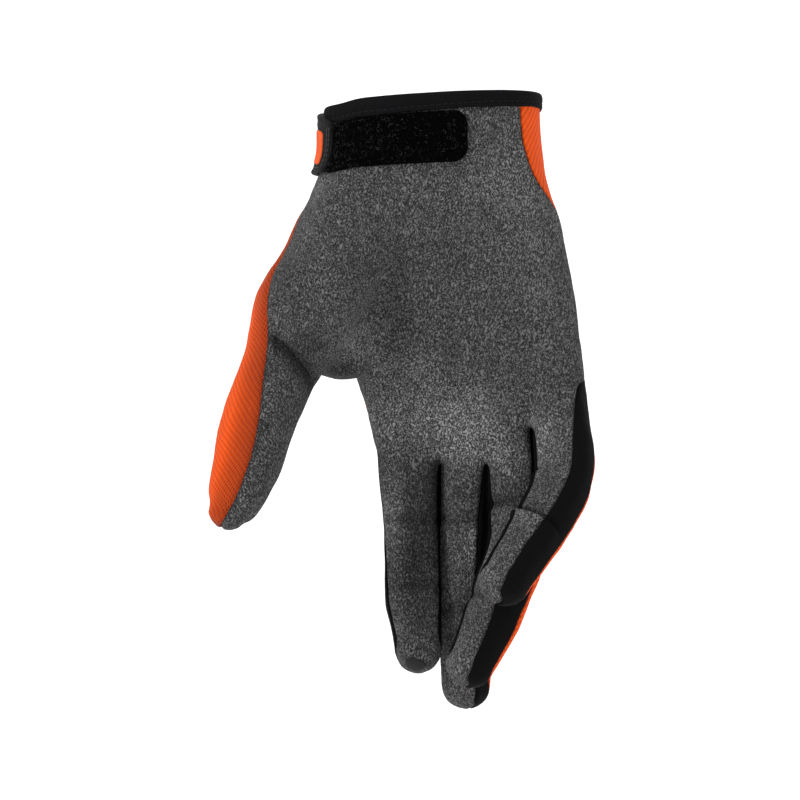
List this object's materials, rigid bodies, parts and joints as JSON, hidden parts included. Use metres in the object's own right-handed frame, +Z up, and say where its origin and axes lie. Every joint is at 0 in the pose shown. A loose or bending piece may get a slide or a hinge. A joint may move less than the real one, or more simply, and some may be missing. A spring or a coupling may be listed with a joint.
{
  "type": "motocross glove",
  "caption": "Right-hand full-finger motocross glove with a suede palm, orange woven back, black finger sides and a hook-and-loop wrist tab.",
  "frame": {"origin": "middle of the cuff's mouth, level with the top of its binding, where the wrist goes in", "axes": "+Z up out of the cuff along the forearm, -Y out of the palm, -X towards the thumb"},
  "size_m": [0.1463, 0.0748, 0.2349],
  "materials": {
    "palm_suede": "matte pebbled suede",
    "orange_weave": "matte diagonal weave",
    "black_stretch": "matte smooth stretch knit",
    "binding_tape": "matte folded tape",
    "tab_leather": "matte synthetic leather",
    "moulded_orange": "satin moulded rubber",
    "loop_pile": "fuzzy loop pile",
    "touch_fabric": "matte conductive fabric"
  },
  "bodies": {
    "root": {"palm_panel": "palm_suede", "thumb_palm_panel": "palm_suede", "back_panel": "orange_weave", "thumb_back_panel": "orange_weave", "index_back_panel": "orange_weave", "middle_back_panel": "orange_weave", "ring_back_panel": "orange_weave", "pinky_back_panel": "orange_weave", "index_side_strip": "black_stretch", "fourchette_index_middle": "black_stretch", "fourchette_middle_ring": "black_stretch", "fourchette_ring_pinky": "black_stretch", "pinky_side_strip": "black_stretch", "cuff_binding": "binding_tape", "closure_tab": "tab_leather", "tab_logo_plate": "moulded_orange", "loop_pad": "loop_pile", "index_touch_patch": "touch_fabric"}
  },
  "joints": []
}
